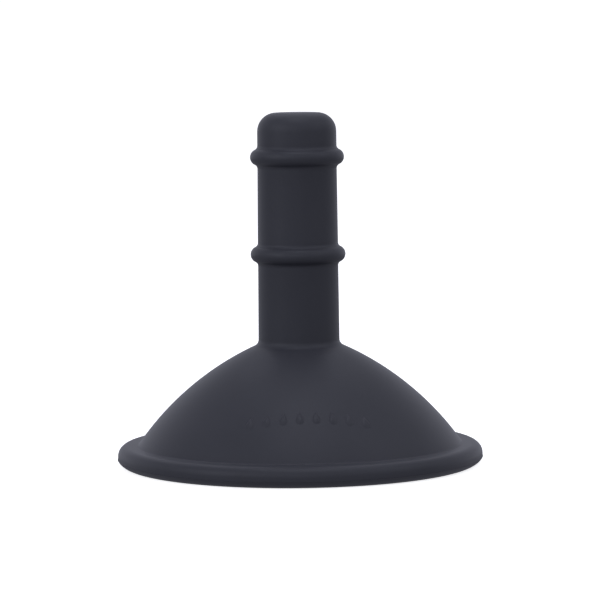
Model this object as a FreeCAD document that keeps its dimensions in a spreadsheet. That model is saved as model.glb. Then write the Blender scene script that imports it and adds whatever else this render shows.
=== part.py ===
"""Sink plunger: a moulded rubber cup and a rubber grip sleeve over a stiff core.

Origin: the centre of the cup's sealing face. +Z runs up the grip. Millimetres.

The cup is one moulding: a rim bead, a domed wall, a crown and a short neck.
The core is a closed tube with a flanged foot pressed into it. The foot's flange sits in the
neck and its spigot fills the hole in the crown. A screw from inside the cup, driven into the
foot's brass insert, pulls a plate up against the crown and clamps it to the flange.
The sleeve is stretched over the tube, and the tube's two barbs seat inside the sleeve's rings.
"""

import FreeCAD
import Part

import os

import Sketcher

# Name, millimetres, what it is.
DIMENSIONS = [
    ("rim_diameter", 130.0, "widest circle of the rim bead, at the mould's parting line"),
    ("rim_height", 7.4, "top of the rim bead above the sealing face"),
    ("parting_height", 2.5, "parting line above the sealing face"),
    ("upper_setback", 0.12, "the upper mould half is this much smaller in radius"),
    ("rim_face_radius", 61.0, "outer edge of the flat sealing face"),
    ("rim_under_round", 5.1, "round from the sealing face up to the parting line"),
    ("rim_top_round", 3.6, "round on the upper outer edge of the rim"),
    ("mouth_radius", 54.0, "inner edge of the sealing face"),
    ("mouth_round", 1.5, "round on that inner edge"),
    ("dome_foot_radius", 57.6, "outside of the dome where it meets the rim"),
    ("dome_foot_round", 1.0, "hollow round between the rim and the dome"),
    ("dome_arc", 104.0, "radius of the arc of the dome's outside"),
    ("dome_wall", 3.6, "thickness of the dome"),
    ("dome_top_height", 42.9, "outside of the dome where it meets the neck"),
    ("neck_round", 2.6, "hollow round between the dome and the neck"),
    ("neck_height", 45.0, "top of the neck, where the sleeve and the core tube stand"),
    ("crown_height", 36.6, "flat underside of the crown"),
    ("crown_round", 5.0, "hollow round between the crown and the dome, inside"),
    ("socket_height", 41.5, "floor of the neck's recess for the foot's flange"),
    ("flange_radius", 12.2, "flange of the foot"),
    ("spigot_radius", 6.5, "spigot of the foot, through the crown"),
    ("foot_clearance", 0.15, "gap all round the flange and the spigot"),
    ("grip_foot_diameter", 28.8, "neck and sleeve where they meet"),
    ("grip_top_diameter", 27.9, "sleeve at its top, before the end is rounded"),
    ("grip_height", 124.9, "top of the sleeve, the plunger's full height"),
    ("grip_end_round", 6.6, "round on the sleeve's closed end"),
    ("ring_lower_height", 74.8, "middle of the lower grip ring"),
    ("ring_upper_height", 109.2, "middle of the upper grip ring"),
    ("ring_proud", 2.6, "how far a ring stands out of the grip"),
    ("ring_half_height", 2.9, "half the height of a ring"),
    ("ring_round", 1.6, "hollow round between a ring and the grip"),
    ("core_diameter", 21.8, "outside of the core tube, inside of the sleeve"),
    ("core_wall", 2.5, "thickness of the core tube"),
    ("core_height", 120.9, "top of the core tube"),
    ("core_end_round", 4.0, "round on the core tube's closed end"),
    ("barb_proud", 1.3, "how far a barb stands out of the tube"),
    ("barb_length", 3.6, "length of a barb's ramp"),
    ("plug_length", 12.0, "length of the foot's plug inside the tube"),
    ("plug_chamfer", 1.0, "lead-in on the plug"),
    ("insert_flats", 9.0, "across the flats of the brass insert"),
    ("insert_length", 10.0, "length of the insert"),
    ("insert_waist_radius", 4.1, "radius of the waist that keeps the insert in the foot"),
    ("insert_waist_start", 4.0, "the waist's distance from the insert's mouth"),
    ("insert_waist_length", 2.0, "length of the waist"),
    ("thread_diameter", 6.0, "M6 thread, drawn plain at its outer diameter"),
    ("thread_clearance", 0.02, "gap all round the screw in the insert"),
    ("screw_length", 12.0, "length of the screw under its head"),
    ("screw_point", 0.8, "chamfer on the screw's tip"),
    ("screw_relief", 1.4, "free depth past the screw's tip"),
    ("head_diameter", 10.5, "button head of the screw"),
    ("head_height", 3.3, "height of the head"),
    ("head_round", 2.4, "round on the head"),
    ("key_flats", 4.0, "across the flats of the hexagon socket in the head"),
    ("key_depth", 2.0, "depth of that socket"),
    ("plate_diameter", 32.0, "crown plate"),
    ("plate_thickness", 1.5, "sheet of the crown plate"),
    ("plate_lip", 1.4, "how far the plate's edge turns down"),
    ("plate_hole_diameter", 6.6, "clearance hole in the crown plate"),
]

CLOSE = 0.01  # two lengths this near count as the same when an edge is looked up
LEAST_CUT = 1.0  # cubic millimetres that every pocket takes away at least
HEXAGON_SIDES = 6

doc = FreeCAD.newDocument("sink_plunger")
sheet = doc.addObject("Spreadsheet::Sheet", "size")
for row, (alias, number, note) in enumerate(DIMENSIONS, 1):
    sheet.set(f"A{row}", alias)
    sheet.set(f"B{row}", str(number))
    sheet.set(f"C{row}", note)
    sheet.setAlias(f"B{row}", alias)
doc.recompute()

# Places worked out from the sheet, as expressions.
RIM_RADIUS = "size.rim_diameter / 2"
UPPER_RADIUS = "(size.rim_diameter / 2 - size.upper_setback)"
GRIP_FOOT = "(size.grip_foot_diameter / 2)"
GRIP_TOP = "(size.grip_top_diameter / 2)"
CORE_RADIUS = "size.core_diameter / 2"
BORE_RADIUS = "(size.core_diameter / 2 - size.core_wall)"
THREAD_RADIUS = "size.thread_diameter / 2"
THREADED_HOLE = "(size.thread_diameter / 2 + size.thread_clearance)"
PLATE_BASE = "(size.crown_height - size.plate_thickness)"
HEAD_BASE = "(size.crown_height - size.plate_thickness - size.head_height)"
RINGS = ("size.ring_lower_height", "size.ring_upper_height")


def measure(expression):
    """An expression's value as a plain number."""
    found = sheet.evalExpression(expression)
    return float(getattr(found, "Value", found))


def grip_radius(height):
    """The sleeve's tapering outside at a height, as an expression."""
    taper = f"({GRIP_FOOT} - {GRIP_TOP}) / (size.grip_height - size.neck_height)"
    return f"{GRIP_FOOT} - {taper} * ({height} - size.neck_height)"


def arc_centre(low, high, radius):
    """The centre of an arc that bulges up and out between two corners, as two expressions."""
    across = f"({low[0]} - {high[0]})"
    up = f"({high[1]} - {low[1]})"
    reach = f"sqrt({radius}^2 / ({across}^2 + {up}^2) - 1 / 4)"
    centre_across = f"(({low[0]} + {high[0]}) / 2 - {up} * {reach})"
    centre_up = f"(({low[1]} + {high[1]}) / 2 - {across} * {reach})"
    return centre_across, centre_up


def new_body(label):
    body = doc.addObject("PartDesign::Body", label)
    body.Label = label
    return body


def settle(feature):
    """Recomputes, and stops the run if the new feature did not come out."""
    doc.recompute()
    if "Invalid" in feature.State or feature.Shape.isNull():
        raise RuntimeError(f"{feature.Label} did not come out")
    return feature


def new_sketch(body, name, role, height="0"):
    """A sketch on one of the body's own planes, lifted along the plane's normal."""
    sketch = body.newObject("Sketcher::SketchObject", name)
    plane = next(p for p in body.Origin.OriginFeatures if p.Role == role)
    sketch.AttachmentSupport = [(plane, "")]
    sketch.MapMode = "FlatFace"
    if height != "0":
        sketch.setExpression("AttachmentOffset.Base.z", height)
    doc.recompute()
    return sketch


def bind(sketch, kind, geometry, expression):
    """A dimension of the sketch, bound to the sheet."""
    number = sketch.addConstraint(Sketcher.Constraint(kind, *geometry, measure(expression)))
    sketch.setExpression(f"Constraints[{number}]", expression)


def place(sketch, point, corner):
    """Ties a sketch point to its corner, (across, up), each an expression."""
    for kind, axis, expression in (("DistanceX", -2, corner[0]), ("DistanceY", -1, corner[1])):
        if expression == "0":
            sketch.addConstraint(Sketcher.Constraint("PointOnObject", *point, axis))
        else:
            bind(sketch, kind, (-1, 1, *point), expression)


def middle_of_arc(first, last, radius, side):
    """The middle point of an arc between two points, bulging to one side of its chord."""
    chord = last - first
    across = FreeCAD.Vector(chord.y, -chord.x, 0).normalize() * side
    rise = radius - (radius**2 - chord.Length**2 / 4) ** 0.5
    return first + chord / 2 + across * rise


def outline(sketch, corners):
    """A closed outline. A corner is (across, up). It is (across, up, arc radius, side) where an
    arc leads on to the next corner: side 1 bulges to the right of the way, side -1 to the left."""
    points = [FreeCAD.Vector(measure(corner[0]), measure(corner[1]), 0) for corner in corners]
    ends = []
    for index, corner in enumerate(corners):
        first = points[index]
        last = points[(index + 1) % len(points)]
        if len(corner) == 2:
            edge = sketch.addGeometry(Part.LineSegment(first, last), False)
        else:
            bulge = middle_of_arc(first, last, measure(corner[2]), corner[3])
            edge = sketch.addGeometry(Part.Arc(first, bulge, last), False)
            bind(sketch, "Radius", (edge,), corner[2])
        # An arc that runs clockwise is stored the other way round.
        swapped = sketch.getPoint(edge, 1).distanceToPoint(first) > CLOSE
        ends.append(((edge, 2), (edge, 1)) if swapped else ((edge, 1), (edge, 2)))
    for index, corner in enumerate(corners):
        start = ends[index][0]
        sketch.addConstraint(Sketcher.Constraint("Coincident", *ends[index - 1][1], *start))
        place(sketch, start, corner)


def circle(body, name, radius, height):
    """A sketch of a circle about the body's axis."""
    sketch = new_sketch(body, name, "XY_Plane", height)
    shape = Part.Circle(FreeCAD.Vector(), FreeCAD.Vector(0, 0, 1), measure(radius))
    ring = sketch.addGeometry(shape, False)
    sketch.addConstraint(Sketcher.Constraint("Coincident", ring, 3, -1, 1))
    bind(sketch, "Radius", (ring,), radius)
    return sketch


def hexagon(body, name, flats, height):
    """A sketch of a regular hexagon about the body's axis, given across its flats."""
    corner_circle = f"{flats} / sqrt(3)"
    sketch = circle(body, name, corner_circle, height)
    guide = 0
    sketch.toggleConstruction(guide)
    corners = [
        FreeCAD.Rotation(FreeCAD.Vector(0, 0, 1), 360 / HEXAGON_SIDES * step).multVec(
            FreeCAD.Vector(measure(corner_circle), 0, 0)
        )
        for step in range(HEXAGON_SIDES)
    ]
    sides = [
        sketch.addGeometry(Part.LineSegment(corners[step - 1], corners[step]), False)
        for step in range(HEXAGON_SIDES)
    ]
    for step, side in enumerate(sides):
        sketch.addConstraint(Sketcher.Constraint("Coincident", sides[step - 1], 2, side, 1))
        sketch.addConstraint(Sketcher.Constraint("PointOnObject", side, 1, guide))
        if step:
            sketch.addConstraint(Sketcher.Constraint("Equal", sides[0], side))
    sketch.addConstraint(Sketcher.Constraint("PointOnObject", sides[0], 2, -1))
    return sketch


def turned(body, name, corners):
    """A solid turned about the body's Z axis from an outline of (radius, height) corners."""
    sketch = new_sketch(body, name + "_outline", "XZ_Plane")
    outline(sketch, corners)
    revolution = body.newObject("PartDesign::Revolution", name)
    revolution.Profile = sketch
    revolution.ReferenceAxis = (sketch, ["V_Axis"])
    revolution.Angle = 360.0
    return settle(revolution)


def pocket_up(body, name, sketch, depth):
    """Cuts a sketch upwards into the body, and makes sure that it took something away."""
    before = body.Tip.Shape.Volume
    cut = body.newObject("PartDesign::Pocket", name)
    cut.Profile = sketch
    cut.Reversed = True
    cut.setExpression("Length", depth)
    settle(cut)
    if before - cut.Shape.Volume < LEAST_CUT:
        raise RuntimeError(f"{name} cuts nothing")


def edges_at(shape, corners):
    """The names of the circular edges that a turned outline's corners made."""
    wanted = [(measure(radius), measure(height)) for radius, height in corners]
    names = []
    for number, edge in enumerate(shape.Edges, 1):
        if not isinstance(edge.Curve, Part.Circle):
            continue
        found = (edge.Curve.Radius, edge.Curve.Center.z)
        if any(abs(found[0] - r) < CLOSE and abs(found[1] - z) < CLOSE for r, z in wanted):
            names.append(f"Edge{number}")
    if len(names) != len(corners):
        raise RuntimeError(f"{len(names)} edges found at {wanted}")
    return names


def fillet(body, name, corners, radius):
    """A fillet on the edges at those corners."""
    base = body.Tip
    feature = body.newObject("PartDesign::Fillet", name)
    feature.Base = (base, edges_at(base.Shape, corners))
    feature.setExpression("Radius", radius)
    settle(feature)


def chamfer(body, name, corners, width):
    """A chamfer on the edges at those corners."""
    base = body.Tip
    feature = body.newObject("PartDesign::Chamfer", name)
    feature.Base = (base, edges_at(base.Shape, corners))
    feature.setExpression("Size", width)
    settle(feature)


def make_rubber_cup():
    """Rim bead, dome, crown and neck, with a stepped hole for the foot."""
    body = new_body("rubber_cup")
    dome_foot = ("size.dome_foot_radius", "size.rim_height")
    dome_top = (GRIP_FOOT, "size.dome_top_height")
    # The dome's inside shares the centre of its outside.
    centre_across, centre_up = arc_centre(dome_foot, dome_top, "size.dome_arc")
    inner_arc = "(size.dome_arc - size.dome_wall)"
    mouth_top = f"{centre_up} + sqrt({inner_arc}^2 - (size.mouth_radius - {centre_across})^2)"
    crown_radius = f"{centre_across} + sqrt({inner_arc}^2 - (size.crown_height - {centre_up})^2)"
    crown_edge = (crown_radius, "size.crown_height")
    hole_radius = "size.spigot_radius + size.foot_clearance"
    socket_radius = "size.flange_radius + size.foot_clearance"
    turned(
        body,
        "cup",
        [
            ("size.mouth_radius", "0"),
            ("size.rim_face_radius", "0", "size.rim_under_round", 1),
            (RIM_RADIUS, "size.parting_height"),
            (UPPER_RADIUS, "size.parting_height"),
            (UPPER_RADIUS, "size.rim_height"),
            (*dome_foot, "size.dome_arc", 1),
            dome_top,
            (GRIP_FOOT, "size.neck_height"),
            (socket_radius, "size.neck_height"),
            (socket_radius, "size.socket_height"),
            (hole_radius, "size.socket_height"),
            (hole_radius, "size.crown_height"),
            (*crown_edge, inner_arc, -1),
            ("size.mouth_radius", mouth_top),
        ],
    )
    fillet(body, "rim_top", [(UPPER_RADIUS, "size.rim_height")], "size.rim_top_round")
    fillet(body, "dome_foot", [dome_foot], "size.dome_foot_round")
    fillet(body, "neck_foot", [dome_top], "size.neck_round")
    fillet(body, "mouth_edge", [("size.mouth_radius", "0")], "size.mouth_round")
    fillet(body, "crown_edge", [crown_edge], "size.crown_round")
    return body


def barb_outline(middle):
    """A barb's three corners, from the top down: a ramp, then a square shoulder."""
    low = f"({middle} - size.barb_length / 2)"
    return [
        (CORE_RADIUS, f"({middle} + size.barb_length / 2)"),
        (f"({CORE_RADIUS} + size.barb_proud)", low),
        (CORE_RADIUS, low),
    ]


def make_grip_sleeve():
    """A closed rubber sleeve with two round rings, hollowed to the tube and its barbs."""
    body = new_body("grip_sleeve")
    # The arc of a ring, from how far it stands out and half its height.
    ring_arc = "(size.ring_half_height^2 + size.ring_proud^2) / (2 * size.ring_proud)"
    outside = [(GRIP_FOOT, "size.neck_height")]
    ring_feet = []
    for middle in RINGS:
        low = f"({middle} - size.ring_half_height)"
        high = f"({middle} + size.ring_half_height)"
        outside += [(grip_radius(low), low, ring_arc, 1), (grip_radius(high), high)]
        ring_feet += [(grip_radius(low), low), (grip_radius(high), high)]
    outside += [(GRIP_TOP, "size.grip_height"), ("0", "size.grip_height")]
    inside = [("0", "size.core_height"), (CORE_RADIUS, "size.core_height")]
    for middle in reversed(RINGS):
        inside += barb_outline(middle)
    inside.append((CORE_RADIUS, "size.neck_height"))
    turned(body, "sleeve", outside + inside)
    fillet(body, "ring_feet", ring_feet, "size.ring_round")
    fillet(body, "closed_end", [(GRIP_TOP, "size.grip_height")], "size.grip_end_round")
    fillet(body, "end_inside", [(CORE_RADIUS, "size.core_height")], "size.core_end_round")
    return body


def make_core_tube():
    """A stiff tube, closed and rounded at the top, with a barb behind each ring."""
    body = new_body("core_tube")
    ceiling = "(size.core_height - size.core_wall)"
    corners = [("0", "size.core_height"), (CORE_RADIUS, "size.core_height")]
    for middle in reversed(RINGS):
        corners += barb_outline(middle)
    corners += [
        (CORE_RADIUS, "size.neck_height"),
        (BORE_RADIUS, "size.neck_height"),
        (BORE_RADIUS, ceiling),
        ("0", ceiling),
    ]
    turned(body, "tube", corners)
    fillet(body, "closed_end", [(CORE_RADIUS, "size.core_height")], "size.core_end_round")
    return body


def make_core_foot():
    """A plug for the tube, a flange and a spigot, moulded around the insert."""
    body = new_body("core_foot")
    plug_top = "(size.neck_height + size.plug_length)"
    turned(
        body,
        "foot",
        [
            ("0", "size.crown_height"),
            ("size.spigot_radius", "size.crown_height"),
            ("size.spigot_radius", "size.socket_height"),
            ("size.flange_radius", "size.socket_height"),
            ("size.flange_radius", "size.neck_height"),
            (BORE_RADIUS, "size.neck_height"),
            (BORE_RADIUS, plug_top),
            ("0", plug_top),
        ],
    )
    chamfer(body, "plug_lead_in", [(BORE_RADIUS, plug_top)], "size.plug_chamfer")
    # Two hexagons with a round waist between them take the insert.
    waist_end = "size.insert_waist_start + size.insert_waist_length"
    low = hexagon(body, "low_hexagon", "size.insert_flats", "size.crown_height")
    pocket_up(body, "insert_low", low, "size.insert_waist_start")
    high = hexagon(body, "high_hexagon", "size.insert_flats", f"size.crown_height + {waist_end}")
    pocket_up(body, "insert_high", high, f"size.insert_length - ({waist_end})")
    waist = circle(body, "waist_circle", "size.insert_waist_radius", "size.crown_height")
    pocket_up(body, "insert_waist", waist, "size.insert_length")
    tip_depth = "size.screw_length - size.plate_thickness + size.screw_relief"
    relief = circle(body, "relief_circle", THREADED_HOLE, "size.crown_height")
    pocket_up(body, "tip_relief", relief, tip_depth)
    return body


def make_threaded_insert():
    """A hexagonal brass bar with a waist and a threaded bore, the thread drawn plain."""
    body = new_body("threaded_insert")
    pad = body.newObject("PartDesign::Pad", "bar")
    pad.Profile = hexagon(body, "bar_hexagon", "size.insert_flats", "size.crown_height")
    pad.setExpression("Length", "size.insert_length")
    settle(pad)
    groove = body.newObject("PartDesign::Groove", "waist")
    sketch = new_sketch(body, "waist_outline", "XZ_Plane")
    waist_low = "size.crown_height + size.insert_waist_start"
    waist_high = f"{waist_low} + size.insert_waist_length"
    corners = [
        ("size.insert_waist_radius", waist_low),
        ("size.insert_flats", waist_low),
        ("size.insert_flats", waist_high),
        ("size.insert_waist_radius", waist_high),
    ]
    outline(sketch, corners)
    groove.Profile = sketch
    groove.ReferenceAxis = (sketch, ["V_Axis"])
    groove.Angle = 360.0
    settle(groove)
    bore = circle(body, "bore_circle", THREADED_HOLE, "size.crown_height")
    pocket_up(body, "thread", bore, "size.insert_length")
    return body


def make_crown_plate():
    """A pressed steel disc with a turned-down edge, under the crown."""
    body = new_body("crown_plate")
    outer = "size.plate_diameter / 2"
    inner = "(size.plate_diameter / 2 - size.plate_thickness)"
    hole = "size.plate_hole_diameter / 2"
    lip_base = f"{PLATE_BASE} - size.plate_lip"
    turned(
        body,
        "disc",
        [
            (hole, PLATE_BASE),
            (inner, PLATE_BASE),
            (inner, lip_base),
            (outer, lip_base),
            (outer, "size.crown_height"),
            (hole, "size.crown_height"),
        ],
    )
    fillet(body, "bend", [(outer, "size.crown_height")], "size.plate_thickness")
    return body


def make_clamp_screw():
    """An M6 button-head screw with a hexagon socket, the thread drawn plain."""
    body = new_body("clamp_screw")
    head_radius = "size.head_diameter / 2"
    tip = f"({PLATE_BASE} + size.screw_length)"
    turned(
        body,
        "blank",
        [
            ("0", HEAD_BASE),
            (head_radius, HEAD_BASE),
            (head_radius, PLATE_BASE),
            (THREAD_RADIUS, PLATE_BASE),
            (THREAD_RADIUS, tip),
            ("0", tip),
        ],
    )
    fillet(body, "head", [(head_radius, HEAD_BASE)], "size.head_round")
    chamfer(body, "point", [(THREAD_RADIUS, tip)], "size.screw_point")
    key = hexagon(body, "key_hexagon", "size.key_flats", HEAD_BASE)
    pocket_up(body, "key_socket", key, "size.key_depth")
    return body


subparts = [
    make_rubber_cup(),
    make_grip_sleeve(),
    make_core_tube(),
    make_core_foot(),
    make_threaded_insert(),
    make_crown_plate(),
    make_clamp_screw(),
]
doc.recompute()

for item in doc.Objects:
    if "Invalid" in item.State or "Error" in item.State:
        raise RuntimeError(f"{item.Label} failed: {item.State}")
for subpart in subparts:
    if subpart.Shape.isNull() or not subpart.Shape.isValid() or not subpart.Shape.Solids:
        raise RuntimeError(f"{subpart.Label} has no sound solid")
os.makedirs("parts", exist_ok=True)
for subpart in subparts:
    subpart.Shape.exportStep(f"parts/{subpart.Label}.step")
    print(f"{subpart.Label}: {subpart.Shape.Volume / 1000:.2f} cm3")
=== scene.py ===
"""Looks of the sink plunger: its rubber skins, raised drops, finishes, floor, lights and camera.

Metres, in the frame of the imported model: the origin is the centre of the cup's sealing face, +Z
runs up the grip and the raised drops face -Y. Outlines are drawn in millimetres.
"""

import math

import bpy
from mathutils import Matrix, Vector


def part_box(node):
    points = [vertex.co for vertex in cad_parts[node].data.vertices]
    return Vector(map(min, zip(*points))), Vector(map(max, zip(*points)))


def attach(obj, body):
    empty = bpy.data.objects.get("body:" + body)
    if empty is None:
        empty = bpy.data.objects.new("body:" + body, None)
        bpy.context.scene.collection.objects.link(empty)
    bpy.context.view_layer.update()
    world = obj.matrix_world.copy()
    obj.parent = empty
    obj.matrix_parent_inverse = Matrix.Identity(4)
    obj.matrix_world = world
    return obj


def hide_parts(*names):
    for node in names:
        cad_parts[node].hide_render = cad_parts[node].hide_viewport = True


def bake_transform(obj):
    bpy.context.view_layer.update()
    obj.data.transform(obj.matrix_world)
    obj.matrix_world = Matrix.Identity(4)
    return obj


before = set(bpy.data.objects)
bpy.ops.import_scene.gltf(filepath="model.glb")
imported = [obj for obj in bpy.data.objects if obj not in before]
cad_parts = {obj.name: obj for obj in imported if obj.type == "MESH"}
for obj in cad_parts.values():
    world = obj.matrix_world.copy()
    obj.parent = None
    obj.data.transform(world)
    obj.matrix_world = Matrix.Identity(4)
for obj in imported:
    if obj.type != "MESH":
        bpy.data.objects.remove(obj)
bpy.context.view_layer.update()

MM = 0.001

# Sizes that the frame gives, in millimetres: what the skins have to meet.
RIM_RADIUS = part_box("rubber_cup")[1][0] / MM
NECK_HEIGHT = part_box("rubber_cup")[1][2] / MM
GRIP_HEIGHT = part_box("grip_sleeve")[1][2] / MM
CROWN_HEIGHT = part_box("crown_plate")[1][2] / MM
CORE_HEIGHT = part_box("core_tube")[1][2] / MM
BARB_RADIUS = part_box("core_tube")[1][0] / MM
FLANGE_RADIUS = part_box("core_foot")[1][0] / MM

# The rim.
RIM_HEIGHT = 7.4
PARTING_HEIGHT = 2.5
UPPER_SETBACK = 0.12
RIM_FACE_RADIUS = RIM_RADIUS - 4.0
RIM_UNDER_ROUND = 5.1
RIM_TOP_ROUND = 3.6
MOUTH_RADIUS = 54.0
MOUTH_ROUND = 1.5

# The dome, the crown and the neck.
GRIP_FOOT_RADIUS = 14.4
DOME_FOOT = (57.6, RIM_HEIGHT)
DOME_TOP = (GRIP_FOOT_RADIUS, 42.9)
DOME_FOOT_ROUND = 1.0
DOME_ARC = 104.0
DOME_WALL = 3.6
CROWN_ROUND = 5.0
NECK_ROUND = 2.6
SOCKET_HEIGHT = 41.5
SOCKET_RADIUS = FLANGE_RADIUS + 0.15
HOLE_RADIUS = 6.65

# The grip: a tapering sleeve, two rings and a closed round end.
GRIP_TOP_RADIUS = 13.95
GRIP_END_ROUND = 6.6
RING_HEIGHTS = (74.8, 109.2)
RING_PROUD = 2.6
RING_HALF_HEIGHT = 2.9
RING_FOOT_ROUND = 1.6
CORE_RADIUS = 10.9
CORE_END_ROUND = 4.0
BARB_LENGTH = 3.6

# The raised drops on the front of the dome.
DROP_COUNT = 8
DROP_ROW = 39.2
DROP_HALF_WIDTH = 1.9
DROP_HALF_HEIGHT = 2.7
DROP_CLIMB = 19.0
DROP_ARCH = 3.0
DROP_RISE = 0.4
DROP_ROOT = 0.25
DROP_TURN = math.radians(3.5)
DROP_TAPER = 1.2

# How finely the meshes are drawn.
DROP_POINTS = 40
TURNED_SEGMENTS = 288
ARC_STEP = 1.5
ROUND_STEP = math.radians(7.5)
SHARP_ANGLE = math.radians(32)


# ---------------------------------------------------------------- outlines, (radius, height)


def arc_centre(first, last, radius, side):
    """The centre of an arc that bulges to the right of the way (side 1) or to the left (-1)."""
    chord = Vector(last) - Vector(first)
    inwards = Vector((-chord.y, chord.x)).normalized() * side
    return Vector(first) + chord / 2 + inwards * math.sqrt(radius**2 - chord.length_squared / 4)


def swept(centre, start, turn, count):
    """Points round a centre, from a start through a turn, both ends included."""
    spoke = Vector(start) - Vector(centre)
    steps = [Matrix.Rotation(turn * number / count, 2) @ spoke for number in range(count + 1)]
    return [tuple(Vector(centre) + step) for step in steps]


def arc(first, last, radius, side, step=ARC_STEP):
    """Points along an arc between two points, both included."""
    centre = arc_centre(first, last, radius, side)
    turn = 2 * math.asin((Vector(last) - Vector(first)).length / (2 * radius))
    return swept(centre, first, side * turn, max(2, round(turn * radius / step)))


def corner_round(before, corner, after, radius):
    """Points along the round that replaces a corner between two straight runs."""
    back = (Vector(before) - Vector(corner)).normalized()
    ahead = (Vector(after) - Vector(corner)).normalized()
    half = back.angle(ahead) / 2
    centre = Vector(corner) + (back + ahead).normalized() * radius / math.sin(half)
    start = Vector(corner) + back * radius / math.tan(half)
    turn = math.copysign(math.pi - 2 * half, ahead.cross(back))
    return swept(centre, start, turn, max(2, math.ceil(abs(turn) / ROUND_STEP)))


def softened(corners):
    """An outline with a round at each corner that has a third value, the round's radius."""
    points = []
    for index, corner in enumerate(corners):
        if len(corner) == 2:
            points.append(corner)
            continue
        before = corners[index - 1][:2]
        after = corners[(index + 1) % len(corners)][:2]
        points += corner_round(before, corner[:2], after, corner[2])
    return points


def grip_radius(height):
    """The tapering grip's radius at a height."""
    climbed = (height - NECK_HEIGHT) / (GRIP_HEIGHT - NECK_HEIGHT)
    return GRIP_FOOT_RADIUS + (GRIP_TOP_RADIUS - GRIP_FOOT_RADIUS) * climbed


def ring(height):
    """A grip ring from below: a hollow round, the bulge, and a hollow round again."""
    radius = grip_radius(height)
    bulge = (RING_HALF_HEIGHT**2 + RING_PROUD**2) / (2 * RING_PROUD)
    centre = Vector((radius + RING_PROUD - bulge, height))
    # A hollow round touches the grip and the bulge, which settles where its centre is.
    across = radius + RING_FOOT_ROUND
    up = math.sqrt((bulge + RING_FOOT_ROUND) ** 2 - (across - centre.x) ** 2)
    low_touch = centre + Vector((across - centre.x, -up)).normalized() * bulge
    high_touch = centre + Vector((across - centre.x, up)).normalized() * bulge
    foot_step = RING_FOOT_ROUND * ROUND_STEP
    low = arc((radius, height - up), low_touch, RING_FOOT_ROUND, -1, foot_step)
    middle = arc(low_touch, high_touch, bulge, 1, bulge * ROUND_STEP)
    high = arc(high_touch, (radius, height + up), RING_FOOT_ROUND, -1, foot_step)
    return low + middle[1:-1] + high


def barb_groove(height):
    """The inside groove that a barb of the core seats in, from above."""
    low = height - BARB_LENGTH / 2
    high = height + BARB_LENGTH / 2
    return [(CORE_RADIUS, high), (BARB_RADIUS, low), (CORE_RADIUS, low)]


def cup_outline():
    """The cup's section: out along the sealing face, up over the rim and dome, back inside."""
    upper_radius = RIM_RADIUS - UPPER_SETBACK
    centre = arc_centre(DOME_FOOT, DOME_TOP, DOME_ARC, 1)
    inner_arc = DOME_ARC - DOME_WALL
    mouth_top = centre.y + math.sqrt(inner_arc**2 - (MOUTH_RADIUS - centre.x) ** 2)
    crown_radius = centre.x + math.sqrt(inner_arc**2 - (CROWN_HEIGHT - centre.y) ** 2)
    parting = (RIM_RADIUS, PARTING_HEIGHT)
    under_step = RIM_UNDER_ROUND * ROUND_STEP
    under = arc((RIM_FACE_RADIUS, 0), parting, RIM_UNDER_ROUND, 1, under_step)
    outside = arc(DOME_FOOT, DOME_TOP, DOME_ARC, 1)
    inside = arc((crown_radius, CROWN_HEIGHT), (MOUTH_RADIUS, mouth_top), inner_arc, -1)
    return softened(
        [(MOUTH_RADIUS, 0, MOUTH_ROUND)]
        + under
        + [(upper_radius, PARTING_HEIGHT), (upper_radius, RIM_HEIGHT, RIM_TOP_ROUND)]
        + [(*DOME_FOOT, DOME_FOOT_ROUND)]
        + outside[1:-1]
        + [(*DOME_TOP, NECK_ROUND), (GRIP_FOOT_RADIUS, NECK_HEIGHT)]
        + [(SOCKET_RADIUS, NECK_HEIGHT), (SOCKET_RADIUS, SOCKET_HEIGHT)]
        + [(HOLE_RADIUS, SOCKET_HEIGHT), (HOLE_RADIUS, CROWN_HEIGHT)]
        + [(*inside[0], CROWN_ROUND)]
        + inside[1:]
    )


def grip_outline():
    """The sleeve's section: up the outside over both rings, back down inside past the barbs."""
    corners = [(CORE_RADIUS, NECK_HEIGHT), (GRIP_FOOT_RADIUS, NECK_HEIGHT)]
    for height in RING_HEIGHTS:
        corners += ring(height)
    corners += [(GRIP_TOP_RADIUS, GRIP_HEIGHT, GRIP_END_ROUND), (0, GRIP_HEIGHT)]
    corners += [(0, CORE_HEIGHT), (CORE_RADIUS, CORE_HEIGHT, CORE_END_ROUND)]
    for height in reversed(RING_HEIGHTS):
        corners += barb_groove(height)
    return softened(corners)


# ---------------------------------------------------------------- meshes


def new_piece(name, vertices, faces):
    """A smooth mesh object from vertices in millimetres, creased at its real edges."""
    mesh = bpy.data.meshes.new(name)
    mesh.from_pydata([Vector(vertex) * MM for vertex in vertices], [], faces)
    mesh.shade_smooth()
    mesh.set_sharp_from_angle(angle=SHARP_ANGLE)
    piece = bpy.data.objects.new(name, mesh)
    bpy.context.collection.objects.link(piece)
    return piece


def turned_piece(name, outline):
    """A closed outline of (radius, height) turned about the grip's axis."""
    vertices = []
    rows = []
    for radius, height in outline:
        count = TURNED_SEGMENTS if radius else 1
        rows.append([len(vertices) + number for number in range(count)])
        for number in range(count):
            angle = math.tau * number / TURNED_SEGMENTS
            vertices.append((radius * math.cos(angle), radius * math.sin(angle), height))
    faces = []
    for row, above in zip(rows, rows[1:] + rows[:1]):
        if len(row) == 1 and len(above) == 1:
            continue
        for number in range(TURNED_SEGMENTS):
            along = (number + 1) % TURNED_SEGMENTS
            corners = [row[number % len(row)], row[along % len(row)]]
            corners += [above[along % len(above)], above[number % len(above)]]
            faces.append(list(dict.fromkeys(corners)))
    return new_piece(name, vertices, faces)


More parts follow.
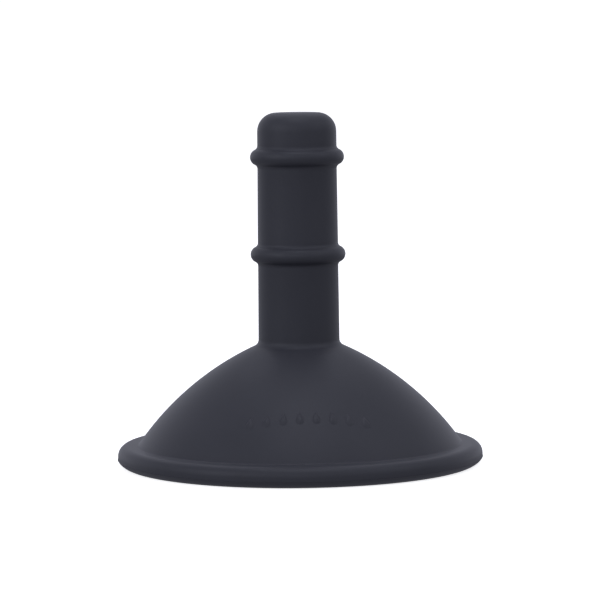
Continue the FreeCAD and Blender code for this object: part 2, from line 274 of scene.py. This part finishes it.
def drop_outline(scale):
    """The outline of a water drop, point upwards, as (across, up)."""
    points = []
    for number in range(DROP_POINTS):
        turn = math.tau * number / DROP_POINTS
        across = math.sin(turn) * math.sin(turn / 2) ** DROP_TAPER
        points.append((DROP_HALF_WIDTH * across * scale, DROP_HALF_HEIGHT * math.cos(turn) * scale))
    return points


def on_dome(angle, climb, rise):
    """A point above the dome's outside: round the axis, up the arc from its foot, and outwards."""
    centre = arc_centre(DOME_FOOT, DOME_TOP, DOME_ARC, 1)
    foot = Vector(DOME_FOOT) - centre
    lean = math.atan2(foot.y, foot.x) + climb / DOME_ARC
    radius = centre.x + (DOME_ARC + rise) * math.cos(lean)
    height = centre.y + (DOME_ARC + rise) * math.sin(lean)
    return radius * math.cos(angle), radius * math.sin(angle), height


def raised_drops():
    """A low arch of plain drops, rooted in the dome and rounded like a cushion."""
    # Each level is how much of the outline is left and how far it stands out of the dome.
    levels = [(1.05, -DROP_ROOT)]
    levels += [(share, DROP_RISE * (1 - share**2)) for share in (1.0, 0.88, 0.75, 0.6, 0.45, 0.25)]
    waist = math.hypot(*on_dome(0, DROP_CLIMB, 0)[:2])
    vertices = []
    faces = []
    for drop in range(DROP_COUNT):
        share = 2 * drop / (DROP_COUNT - 1) - 1
        middle = -math.pi / 2 + DROP_TURN + share * DROP_ROW / 2 / waist
        climb = DROP_CLIMB - DROP_ARCH * share**2
        first = len(vertices)
        for scale, rise in levels:
            for across, up in drop_outline(scale):
                vertices.append(on_dome(middle + across / waist, climb + up, rise))
        for level in range(len(levels) - 1):
            for number in range(DROP_POINTS):
                low = first + level * DROP_POINTS
                high = low + DROP_POINTS
                along = (number + 1) % DROP_POINTS
                faces.append((low + along, low + number, high + number, high + along))
        faces.append(list(range(first, first + DROP_POINTS)))
        faces.append(list(range(len(vertices) - 1, len(vertices) - 1 - DROP_POINTS, -1)))
    return new_piece("raised_drops", vertices, faces)


# ---------------------------------------------------------------- materials


def linear(hexcode):
    """An sRGB hex colour as the linear colour that shaders take."""
    channels = [int(hexcode[start : start + 2], 16) / 255 for start in (1, 3, 5)]
    curved = [c / 12.92 if c <= 0.04045 else ((c + 0.055) / 1.055) ** 2.4 for c in channels]
    return (*curved, 1.0)


def new_material(name):
    """An empty node material, its tree and the shader that everything leads to."""
    material = bpy.data.materials.new(name)
    material.use_nodes = True
    tree = material.node_tree
    return material, tree, tree.nodes["Principled BSDF"]


def add(tree, kind, settings=None, **inputs):
    """Adds a node, sets its settings, and fills or links its inputs by their position or name."""
    node = tree.nodes.new(kind)
    for name, value in (settings or {}).items():
        setattr(node, name, value)
    for name, value in inputs.items():
        socket = node.inputs[int(name[1:])] if name[1:].isdigit() else node.inputs[name]
        if isinstance(value, bpy.types.NodeSocket):
            tree.links.new(value, socket)
        else:
            socket.default_value = value
    return node


def moulded_rubber():
    """Black nitrile rubber, pressed in a sand-blasted steel mould.

    Filled with carbon black, it is a deep slate grey with a thin cool bloom. The blasted mould
    leaves a very fine even grain, so it is matt from the front and pale at a grazing angle.
    """
    material, tree, shader = new_material("moulded_nitrile_rubber")
    shader.inputs["Roughness"].default_value = 0.5
    shader.inputs["IOR"].default_value = 1.52
    shader.inputs["Specular IOR Level"].default_value = 0.32
    shader.inputs["Sheen Weight"].default_value = 0.02
    shader.inputs["Sheen Roughness"].default_value = 0.35
    shader.inputs["Sheen Tint"].default_value = linear("#c4c8d8")
    place = add(tree, "ShaderNodeTexCoord").outputs["Object"]
    # Flow in the mould leaves clouds about 25 mm across, barely lighter than the rest.
    clouds = add(tree, "ShaderNodeTexNoise", Vector=place, Scale=1 / 0.025, Detail=3.0)
    slate = add(tree, "ShaderNodeValToRGB", Fac=clouds.outputs["Fac"])
    slate.color_ramp.elements[0].position = 0.3
    slate.color_ramp.elements[0].color = linear("#35363c")
    slate.color_ramp.elements[1].position = 0.7
    slate.color_ramp.elements[1].color = linear("#38393f")
    tree.links.new(slate.outputs["Color"], shader.inputs["Base Color"])
    # The blasted grain is 0.1 mm, drawn at 0.35 mm so that it shows.
    grain = add(tree, "ShaderNodeTexNoise", Vector=place, Scale=1 / 0.00035, Detail=2.0)
    bump = add(tree, "ShaderNodeBump", Height=grain.outputs["Fac"], Strength=0.25, Distance=0.00004)
    tree.links.new(bump.outputs["Normal"], shader.inputs["Normal"])
    return material


def moulded_polypropylene():
    """Natural polypropylene, injection moulded: milky, slightly see-through and waxy."""
    material, tree, shader = new_material("moulded_natural_polypropylene")
    shader.inputs["Roughness"].default_value = 0.42
    shader.inputs["IOR"].default_value = 1.49
    shader.inputs["Subsurface Weight"].default_value = 0.3
    shader.inputs["Subsurface Scale"].default_value = 0.002
    place = add(tree, "ShaderNodeTexCoord").outputs["Object"]
    clouds = add(tree, "ShaderNodeTexNoise", Vector=place, Scale=1 / 0.012, Detail=3.0)
    milk = add(tree, "ShaderNodeValToRGB", Fac=clouds.outputs["Fac"])
    milk.color_ramp.elements[0].color = linear("#cfcec4")
    milk.color_ramp.elements[1].color = linear("#dddcd3")
    tree.links.new(milk.outputs["Color"], shader.inputs["Base Color"])
    return material


def metal(name, hexcode, roughness, mark_size, mark_name):
    """A bare metal with tool marks as long along each axis as mark_size says, in millimetres."""
    material, tree, shader = new_material(name)
    shader.inputs["Metallic"].default_value = 1.0
    shader.inputs["Base Color"].default_value = linear(hexcode)
    place = add(tree, "ShaderNodeTexCoord").outputs["Object"]
    per_metre = [1 / (size * MM) for size in mark_size]
    stretched = add(tree, "ShaderNodeMapping", Vector=place, Scale=per_metre)
    marks = add(tree, "ShaderNodeTexNoise", {"label": mark_name}, Vector=stretched.outputs[0])
    marks.inputs["Scale"].default_value = 1.0
    marks.inputs["Detail"].default_value = 4.0
    spread = add(tree, "ShaderNodeMapRange", Value=marks.outputs["Fac"])
    spread.inputs["To Min"].default_value = roughness - 0.08
    spread.inputs["To Max"].default_value = roughness + 0.08
    tree.links.new(spread.outputs["Result"], shader.inputs["Roughness"])
    bump = add(tree, "ShaderNodeBump", Height=marks.outputs["Fac"], Strength=0.3, Distance=0.00003)
    tree.links.new(bump.outputs["Normal"], shader.inputs["Normal"])
    return material


def white_floor():
    """Seamless white paper, matt, with its faint fibre."""
    material, tree, shader = new_material("white_backdrop_paper")
    shader.inputs["Roughness"].default_value = 0.9
    shader.inputs["Specular IOR Level"].default_value = 0.1
    place = add(tree, "ShaderNodeTexCoord").outputs["Object"]
    fibre = add(tree, "ShaderNodeTexNoise", Vector=place, Scale=1 / 0.004, Detail=4.0)
    white = add(tree, "ShaderNodeValToRGB", Fac=fibre.outputs["Fac"])
    white.color_ramp.elements[0].color = linear("#f3f3f3")
    white.color_ramp.elements[1].color = linear("#f7f7f7")
    tree.links.new(white.outputs["Color"], shader.inputs["Base Color"])
    # It glows a little, so that it stays pure white where the lights don't reach.
    shader.inputs["Emission Color"].default_value = (1.0, 1.0, 1.0, 1.0)
    shader.inputs["Emission Strength"].default_value = 0.8
    return material


def finish_with(piece, material):
    """Gives a piece one material all over."""
    piece.data.materials.clear()
    piece.data.materials.append(material)


# ---------------------------------------------------------------- pieces

rubber = moulded_rubber()
cup_skin = turned_piece("cup_skin", cup_outline())
grip_skin = turned_piece("grip_skin", grip_outline())
drops = raised_drops()
for piece in (cup_skin, grip_skin, drops):
    finish_with(piece, rubber)

# Below the rim's top the rubber stays on the sink. Above the plate it goes with the grip.
for piece in (cup_skin, drops):
    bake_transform(piece)
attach(grip_skin, "handle")
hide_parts("rubber_cup")
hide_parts("grip_sleeve")

plastic = moulded_polypropylene()
for node in ("core_tube", "core_foot"):
    finish_with(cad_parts[node], plastic)
# Cold-rolled sheet, pressed: satin grey, with fine straight lines the way it was rolled.
steel = metal("pressed_stainless_sheet", "#c6c5c1", 0.34, (1.5, 0.1, 0.5), "rolling lines")
finish_with(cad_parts["crown_plate"], steel)
# Cold-headed wire: a darker grey, smoother, with small marks that run no particular way.
screw_steel = metal("headed_stainless_wire", "#b9b8b4", 0.3, (0.25, 0.25, 0.25), "heading marks")
finish_with(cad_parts["clamp_screw"], screw_steel)
# Turned bar: warm yellow, the brightest of the three, with close rings from the tool.
brass = metal("turned_brass_bar", "#d8b36a", 0.28, (0.8, 0.8, 0.1), "turning rings")
finish_with(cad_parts["threaded_insert"], brass)

# ---------------------------------------------------------------- stage, light and camera

# The floor reaches far past the view, a hair below the sealing face so that they don't coincide.
FLOOR_RADIUS = 200.0
FLOOR_GAP = 0.05 * MM

# The light's colour: daylight flash, a little cool.
COOL = (0.94, 0.955, 1.1)

# The studio's softboxes: name, place, width, height, watts.
SOFTBOXES = (
    ("overhead", (0, -0.2, 1.6), 0.8, 0.8, 4.0),
    ("high_behind", (0, 0.9, 1.3), 1.2, 0.5, 2.5),
    ("high_right", (1.1, -0.2, 1.3), 0.6, 0.8, 1.5),
    ("left_side", (-1.2, -0.8, 0.7), 0.8, 1.0, 4.0),
    ("right_side", (1.2, -0.8, 0.7), 0.8, 1.0, 1.0),
    ("front", (-0.3, -2.0, 0.9), 1.2, 0.8, 3.0),
)


def stage_floor():
    """A round white floor, which seems to have no edge."""
    bpy.ops.mesh.primitive_circle_add(vertices=96, radius=FLOOR_RADIUS, fill_type="NGON")
    floor = bpy.context.object
    floor.name = "floor"
    floor.location.z = -FLOOR_GAP
    finish_with(floor, white_floor())
    # No light comes back up from it. What the rubber sees below is the surround's lower half.
    floor.visible_diffuse = False
    floor.visible_glossy = False


def softbox(name, place, width, height, watts):
    """A rectangular studio light at a place, turned to the middle of the plunger."""
    lamp = bpy.data.lights.new(name, "AREA")
    lamp.shape = "RECTANGLE"
    lamp.size = width
    lamp.size_y = height
    lamp.energy = watts
    lamp.color = COOL
    holder = bpy.data.objects.new(name, lamp)
    holder.location = place
    middle = Vector((0, 0, GRIP_HEIGHT * MM / 2))
    holder.rotation_euler = (middle - holder.location).to_track_quat("-Z", "Y").to_euler()
    bpy.context.collection.objects.link(holder)


def studio_greys(tree, number, stops):
    """A cool grey that runs through stops, each a number from -1 to 1 and its grey."""
    level = add(tree, "ShaderNodeMapRange", Value=number)
    level.inputs["From Min"].default_value = -1.0
    greys = add(tree, "ShaderNodeValToRGB", Fac=level.outputs["Result"])
    ramp = greys.color_ramp
    while len(ramp.elements) < len(stops):
        ramp.elements.new(0.5)
    for element, (place, grey) in zip(ramp.elements, stops):
        element.position = (place + 1) / 2
        element.color = (grey * COOL[0], grey * COOL[1], grey * COOL[2], 1.0)
    return greys.outputs["Color"]


def surround():
    """A studio: grey walls, a dim floor and ceiling, and a white backdrop behind the plunger."""
    world = bpy.data.worlds.new("studio_walls")
    world.use_nodes = True
    tree = world.node_tree
    background = tree.nodes["Background"]
    way = add(tree, "ShaderNodeTexCoord").outputs["Generated"]
    parts = add(tree, "ShaderNodeSeparateXYZ", Vector=way)
    # The stops are sines of a direction's climb above the floor.
    walls = ((-0.12, 0.35), (0.0, 0.2), (0.25, 0.45), (0.5, 0.45), (1.0, 0.2))
    backdrop = ((-0.1, 0.0), (-0.03, 0.9), (0.03, 0.9), (0.1, 0.45), (0.3, 0.45), (0.45, 0.0))
    # The backdrop fades in over the sine of a direction's turn to the back.
    behind = add(tree, "ShaderNodeMapRange", Value=parts.outputs["Y"])
    behind.inputs["From Min"].default_value = 0.1
    behind.inputs["From Max"].default_value = 0.8
    both = add(
        tree,
        "ShaderNodeMix",
        {"data_type": "RGBA", "blend_type": "ADD"},
        _0=behind.outputs["Result"],
        _6=studio_greys(tree, parts.outputs["Z"], walls),
        _7=studio_greys(tree, parts.outputs["Z"], backdrop),
    )
    tree.links.new(both.outputs[2], background.inputs["Color"])
    background.inputs["Strength"].default_value = 1.0
    bpy.context.scene.world = world


def studio_camera():
    """A long lens, a little above the rim and looking slightly down, tilted by a hair."""
    camera = bpy.data.cameras.new("camera")
    camera.sensor_width = 36.0
    camera.lens = 191.8
    camera.clip_start = 0.05
    camera.clip_end = 500.0
    holder = bpy.data.objects.new("camera", camera)
    place = Vector((0.0005, -1.13, 0.1579))
    aim = Vector((place.x, 0, 0.0584))
    look = (aim - place).to_track_quat("-Z", "Y").to_matrix().to_4x4()
    tilt = Matrix.Rotation(math.radians(-0.65), 4, "Z")
    holder.matrix_world = Matrix.Translation(place) @ look @ tilt
    bpy.context.collection.objects.link(holder)
    bpy.context.scene.camera = holder


stage_floor()
surround()
for box in SOFTBOXES:
    softbox(*box)
studio_camera()
bpy.context.scene.view_settings.view_transform = "Standard"
